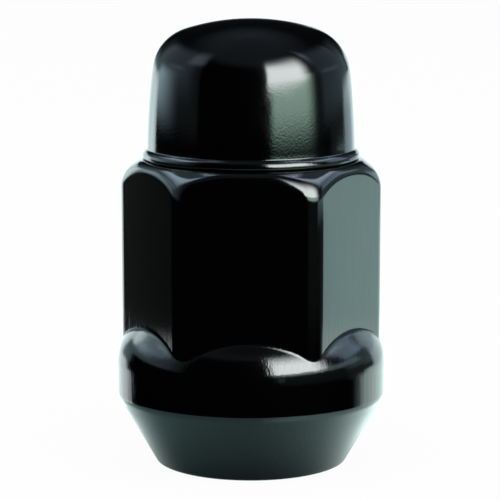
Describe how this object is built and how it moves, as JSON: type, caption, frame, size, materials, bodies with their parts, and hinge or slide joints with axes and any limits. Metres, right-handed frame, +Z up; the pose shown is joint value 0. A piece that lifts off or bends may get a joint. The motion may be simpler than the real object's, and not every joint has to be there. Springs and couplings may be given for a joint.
{
  "type": "lug nut",
  "caption": "Closed-end lug nut: a tapped hexagon body with a bulged collar and a conical seat, closed by a domed cap with a rolled lip, for holding a wheel on its stud.",
  "frame": {"origin": "centre of the ring at the small end of the seat, on the axis of the thread", "axes": "+Z up the axis of the thread to the top of the cap, one flat of the hexagon facing -Y"},
  "size_m": [0.0224, 0.0224, 0.0367],
  "materials": {
    "coated_body": "gloss black coating on forged steel",
    "coated_cap": "gloss black coating on drawn steel, slightly pebbled"
  },
  "bodies": {
    "root": {"nut_body": "coated_body", "end_cap": "coated_cap"}
  },
  "joints": []
}
